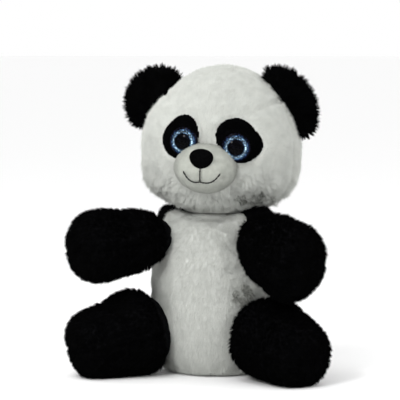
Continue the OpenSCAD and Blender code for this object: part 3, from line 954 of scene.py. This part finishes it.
def limb_skin(name, line, size, sag, origin, axes):
    """A limb's cover in the row frame, not yet stuffed. sag deepens its underside."""
    points, faces = revolve(evenly(curve(line), 1.9), 96)
    points *= size
    points[:, 1] *= 1 + (sag - 1) * (points[:, 1] < 0) * step(-5, 25, points[:, 2])
    return mesh_object(name, origin + points @ axes.T, faces)


def stuff_limb(cover, origin, axes, seed):
    """Blows a limb up between its two side seams and its root, and dents and creases it."""
    def off_seam(p):
        own = (p - origin) @ axes
        return np.where(np.hypot(own[:, 0], own[:, 1]) > 4, np.abs(own[:, 1]), FAR)
    inflate(cover, lambda p: (off_seam(p) < SEAM_HALF) | ((p - origin) @ axes[:, 2] < -6))
    press(cover, lambda p: 0.9 * groove(off_seam(p), 1.8) - 0.7 * ripple(p, 24, seed))


LIMBS = (("arm", ARM_LINE, SHOULDER, 70, ("arm_upper", "arm_lower")),
         ("leg", LEG_LINE, HIP, 75, ("leg_inner", "leg_outer", "foot_sole")))


def limb(label, side, kind, line, spec, seed, shown):
    """An arm or leg with its stuffing and its pile, which lies along it."""
    body = f"{label}_{kind}"
    origin, axes = limb_frame(spec, side)
    along = axes[:, 2]
    cover = limb_skin(f"{body}_cover", line, spec["size"][side], spec["sag"][side], origin, axes)
    fibre(cover, f"{body}_fibre", body, 0.72, origin + 35 * along, f"{body}_stuffing")
    stuff_limb(cover, origin, axes, 60 + side)
    pile = grow(f"{body}_pile", cover, 24000, lambda p: np.where((p - origin) @ along > -8, 4.6, 0),
                lambda p: np.tile(along * 0.8 + (0, 0, -0.45), (len(p), 1)), seed + side, width=0.33,
                lean=1.1, tuft=0.35)
    dress(cover, None, BLACK_BACKING, [f"{label}_{node}" for node in shown])
    dress(pile, None, BLACK)
    for piece in (cover, pile):
        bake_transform(piece)


for kind in LIMBS:
    for label, side in SIDES:
        limb(label, side, *kind)

# ---- torso ----


def bearing(p):
    """Degrees round from straight ahead, towards the panda's own left."""
    return np.degrees(np.arctan2(p[:, 0], -p[:, 1]))


def torso_skin():
    """The torso's cover, raised and widened at the shoulders."""
    line = np.vstack([curve(TORSO_LINE), [(10, 138.8), (0, 139)]])
    points, faces = revolve(evenly(line, 1.9), 180)
    r, turn = np.hypot(points[:, 0], points[:, 1]), np.abs(bearing(points))
    shoulder = groove(turn - 76, 30) * step(104, 128, points[:, 2]) * step(26, 42, r)
    points[:, 0] *= 1 + 0.06 * shoulder
    points[:, 2] += 10 * shoulder
    points[:, 2] = np.maximum(points[:, 2], FLOOR_GAP)
    return mesh_object("torso_cover", points, faces)


def belly_edge(p):
    """Bearing of the belly's edge, which draws in above the yoke's seam to run under the arms."""
    return BELLY_HALF - np.where(p[:, 0] > 0, YOKE_REACH[1], YOKE_REACH[-1]) * step(88, 104, p[:, 2])


def off_torso_seam(p):
    """Distance in mm from the torso's nearest seam: beside the belly, down the back or under the yoke."""
    turn, r = np.abs(bearing(p)), np.hypot(p[:, 0], p[:, 1])
    side, back = np.radians(np.abs(turn - belly_edge(p))) * r, np.radians(180 - turn) * r
    back = np.where(p[:, 2] < YOKE_Z, back, FAR)
    yoke = np.where(turn > belly_edge(p), np.abs(p[:, 2] - YOKE_Z), FAR)
    return np.where((p[:, 2] > 4) & (r > 22), np.minimum(np.minimum(side, back), yoke), FAR)


def is_black(p):
    """Whether a place on the torso is on the yoke, whose edges waver a little."""
    edge = belly_edge(p) + 1.2 * np.sin(p[:, 2] / 9)
    return (np.abs(bearing(p)) > edge) & (p[:, 2] > YOKE_Z - 1 + 0.8 * np.sin(bearing(p) / 7))


def worn(p):
    """1 where the belly's pile is ruffled above the panda's left thigh, falling to 0 around it."""
    return spot(bearing(p), p[:, 2], (37, 70), (9, 10))


def ruffled(p):
    """worn() with its edge broken up. Here grey pile and grey backing paint the shade in the ruffled spot."""
    return worn(p) * (1 + 0.6 * ripple(p, 5, 15))


def torso_length(p):
    """The torso's pile: longer near the seat, shorter under the head, and gone where it has worn off."""
    r = np.hypot(p[:, 0], p[:, 1])
    base = 3.6 + 0.8 * step(50, 20, p[:, 2]) + 0.4 * ripple(p, 18, 14)
    base *= 1 - 0.5 * step(125, 134, p[:, 2]) * step(42, 32, r)
    bare = (p[:, 2] < 1) | (r < 20) | (worn(p) * (1 + ripple(p, 3, 10)) > 1.05)
    return np.where(bare, 0, base)


torso = torso_skin()
fibre(torso, "body_fibre", "torso", 0.93, (0, 0, 66), "body_stuffing")
inflate(torso, lambda p: (off_torso_seam(p) < SEAM_HALF) | (p[:, 2] < SEAM_HALF))
press(torso, lambda p: 1.1 * groove(off_torso_seam(p), 1.8) + 1.5 * worn(p)
      - 0.6 * ripple(p, 30, 12) * step(0, 20, p[:, 2]))


def in_front(p):
    return np.abs(bearing(p)) < 72


TORSO_PILES = [
    ("belly_pile", 46000, lambda p: ~is_black(p) & in_front(p), WHITE, "white_plush", 81),
    ("lower_back_pile", 30000, lambda p: ~is_black(p) & ~in_front(p), WHITE, "white_plush", 84),
    ("yoke_pile", 16000, is_black, BLACK, "black_plush", 82),
]
for name, count, part, material, slot, seed in TORSO_PILES:
    pile = grow(name, torso, count, only(part, torso_length), down, seed, lean=1.8,
                tuft=lambda p: 0.05 + 0.6 * worn(p), stray=lambda p: 0.14 + 0.7 * worn(p))
    dress(pile, "torso", material)
# pale grey strands in the belly's ruffled spot: painted shade among the locks
loose = grow("belly_loose_pile", torso, 1500, lambda p: np.where(ruffled(p) > 0.42, 4.5, 0),
             down, 83, stray=0.6, lean=1.3, tuft=0.5, width=0.26, soft=0.2)
dress(loose, "torso", RUFFLED_SHADE_PILE)
dress(torso, "torso", WHITE_BACKING,
      ("belly_panel", "shoulder_yoke", "left_lower_back", "right_lower_back", "seat_panel"))
two_tone(torso, BLACK_BACKING, is_black)
# painted shade on the backing in the belly's ruffled spot
two_tone(torso, PARTED_SHADE_BACKING, lambda p: ruffled(p) > 0.8)


def neck_gather():
    """The covers' gathered edge round the neck, in folds."""
    line = evenly(np.array([(18, 136), (28, 137), (31, 141), (29, 146), (18, 149)], float), 1.5)
    points, faces = revolve(line, 144)
    outer = step(20, 33, np.hypot(points[:, 0], points[:, 1]))
    fold = 1 + 0.03 * np.sin(np.radians(bearing(points)) * 22) * outer
    points[:, :2] *= fold[:, None]
    return mesh_object("neck_gather", points, faces)


neck = dress(neck_gather(), "neck", WHITE_BACKING, ("neck_stuffing",))
two_tone(neck, BLACK_BACKING, lambda p: np.abs(bearing(p)) > BELLY_HALF)


LABEL_AT, LABEL_OUT, LABEL_LOW, LABEL_HIGH, LABEL_TURN, LABEL_HALF_THICK = 57, 14, 14, 32, 62, 0.12


def care_label():
    """A blank satin loop, folded in half and sewn into the left back seam, a little curled."""
    run = np.linspace(0, 1, 33)
    lay = 2 * np.minimum(run, 1 - run)
    out = LABEL_AT + LABEL_OUT * np.minimum(1, lay / 0.93)
    bend = np.sqrt(np.clip(1 - ((lay - 0.93) / 0.07) ** 2, 0, 1)) ** (lay > 0.93)
    gap = np.where(run < 0.5, 1, -1) * 0.7 * bend
    curl = 2.2 * lay ** 2
    path = np.stack([out, gap + curl], axis=1)
    off = LABEL_HALF_THICK * unit(np.gradient(path, axis=0))[:, ::-1] * (1, -1)
    corners = ((-off, LABEL_LOW), (off, LABEL_LOW), (off, LABEL_HIGH), (-off, LABEL_HIGH))
    rows = [np.column_stack([path + shift, np.full(len(path), z)]) for shift, z in corners]
    points = np.stack(rows, axis=1).reshape(-1, 3) @ turn_z(LABEL_TURN).T
    faces = []
    for low in range(0, 4 * (len(path) - 1), 4):
        faces += [(low + k, low + (k + 1) % 4, low + 4 + (k + 1) % 4, low + 4 + k) for k in range(4)]
    faces += [(3, 2, 1, 0), tuple(4 * (len(path) - 1) + k for k in range(4))]
    return mesh_object("folded_label", points, faces)


strip = dress(care_label(), "torso", SATIN, ("care_label",))


def tail_skin():
    """A stub that stands out of the lower back."""
    points, faces = revolve(evenly(curve(TAIL_LINE), 1.2), 64)
    points = np.stack([points[:, 0], TAIL_Y + points[:, 2], TAIL_Z + points[:, 1]], axis=1)
    return mesh_object("tail_plush", points, [f[::-1] for f in faces])


tail = tail_skin()
pile = grow("tail_pile", tail, 4000, lambda p: np.full(len(p), 5.0), down, 91, width=0.35, tuft=0.5)
dress(pile, "torso", WHITE)
dress(tail, "torso", WHITE_BACKING, ("tail_cover",))

# ---- the CAD's own pieces ----


def cad_material(name):
    """The material of a node that keeps its CAD shape."""
    if "washer" in name:
        return NYLON
    if name.endswith("eye_back"):
        return NAVY
    return SATIN if name == "care_label" else WHITE_BACKING


for name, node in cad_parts.items():
    node.data.materials.clear()
    node.data.materials.append(cad_material(name))

# ---- stage, lights and camera, in metres ----


def stage():
    m = new_material("studio_floor", {"Base Color": (0.96, 0.96, 0.96, 1), "Roughness": 0.9})[0]
    corners = [(x * FLOOR_HALF, y * FLOOR_HALF, 0) for x, y in ((-1, -1), (1, -1), (1, 1), (-1, 1))]
    floor = mesh_object("floor", corners, [(0, 1, 2, 3)])
    floor.data.materials.append(m)


def seen_from(azimuth, elevation):
    """The way azimuth degrees round from the front, towards the panda's left, and elevation degrees up."""
    a, e = math.radians(azimuth), math.radians(elevation)
    return Vector((math.sin(a) * math.cos(e), -math.cos(a) * math.cos(e), math.sin(e)))


def set_up(name, data, at, way):
    """A light or camera that stands at a place and looks the given way."""
    ob = link(name, data)
    ob.matrix_world = Matrix.Translation(at) @ way.to_track_quat("-Z", "Y").to_matrix().to_4x4()
    return ob


def light(name, azimuth, elevation, distance, size, power):
    """A round light that shines on the panda's middle."""
    target = Vector((0, 0, 0.15))
    at = target + distance * seen_from(azimuth, elevation)
    data = bpy.data.lights.new(name, "AREA")
    data.shape, data.size, data.energy = "DISK", size, power
    set_up(name, data, at, target - at)


def camera():
    """The photo's view: a long lens, turned towards the panda's middle and shifted a little."""
    azimuth, elevation, distance, lens, across, up = 16, 4.3, 1.8, 188.4, -0.0150, 0.0112
    back = seen_from(azimuth, elevation)
    turn = (-back).to_track_quat("-Z", "Y")
    right, top = turn @ Vector((1, 0, 0)), turn @ Vector((0, 1, 0))
    data = bpy.data.cameras.new("camera")
    data.lens, data.sensor_width = lens, 36
    at = Vector((0, 0, 0.135)) + back * distance + right * across + top * up
    bpy.context.scene.camera = set_up("camera", data, at, -back)


def surroundings():
    """White light from all round."""
    world = bpy.data.worlds.new("studio")
    bpy.context.scene.world = world
    world.use_nodes = True
    sky = world.node_tree.nodes["Background"]
    sky.inputs["Color"].default_value = (1, 1, 1, 1)
    sky.inputs["Strength"].default_value = 1.0
    bpy.context.scene.view_settings.view_transform = "Standard"


stage()
light("key", -20, 55, 1.6, 0.9, 8)
light("fill", 60, 20, 1.9, 1.2, 6)
light("glint", -11, 27, 1.6, 0.28, 9)
surroundings()
camera()
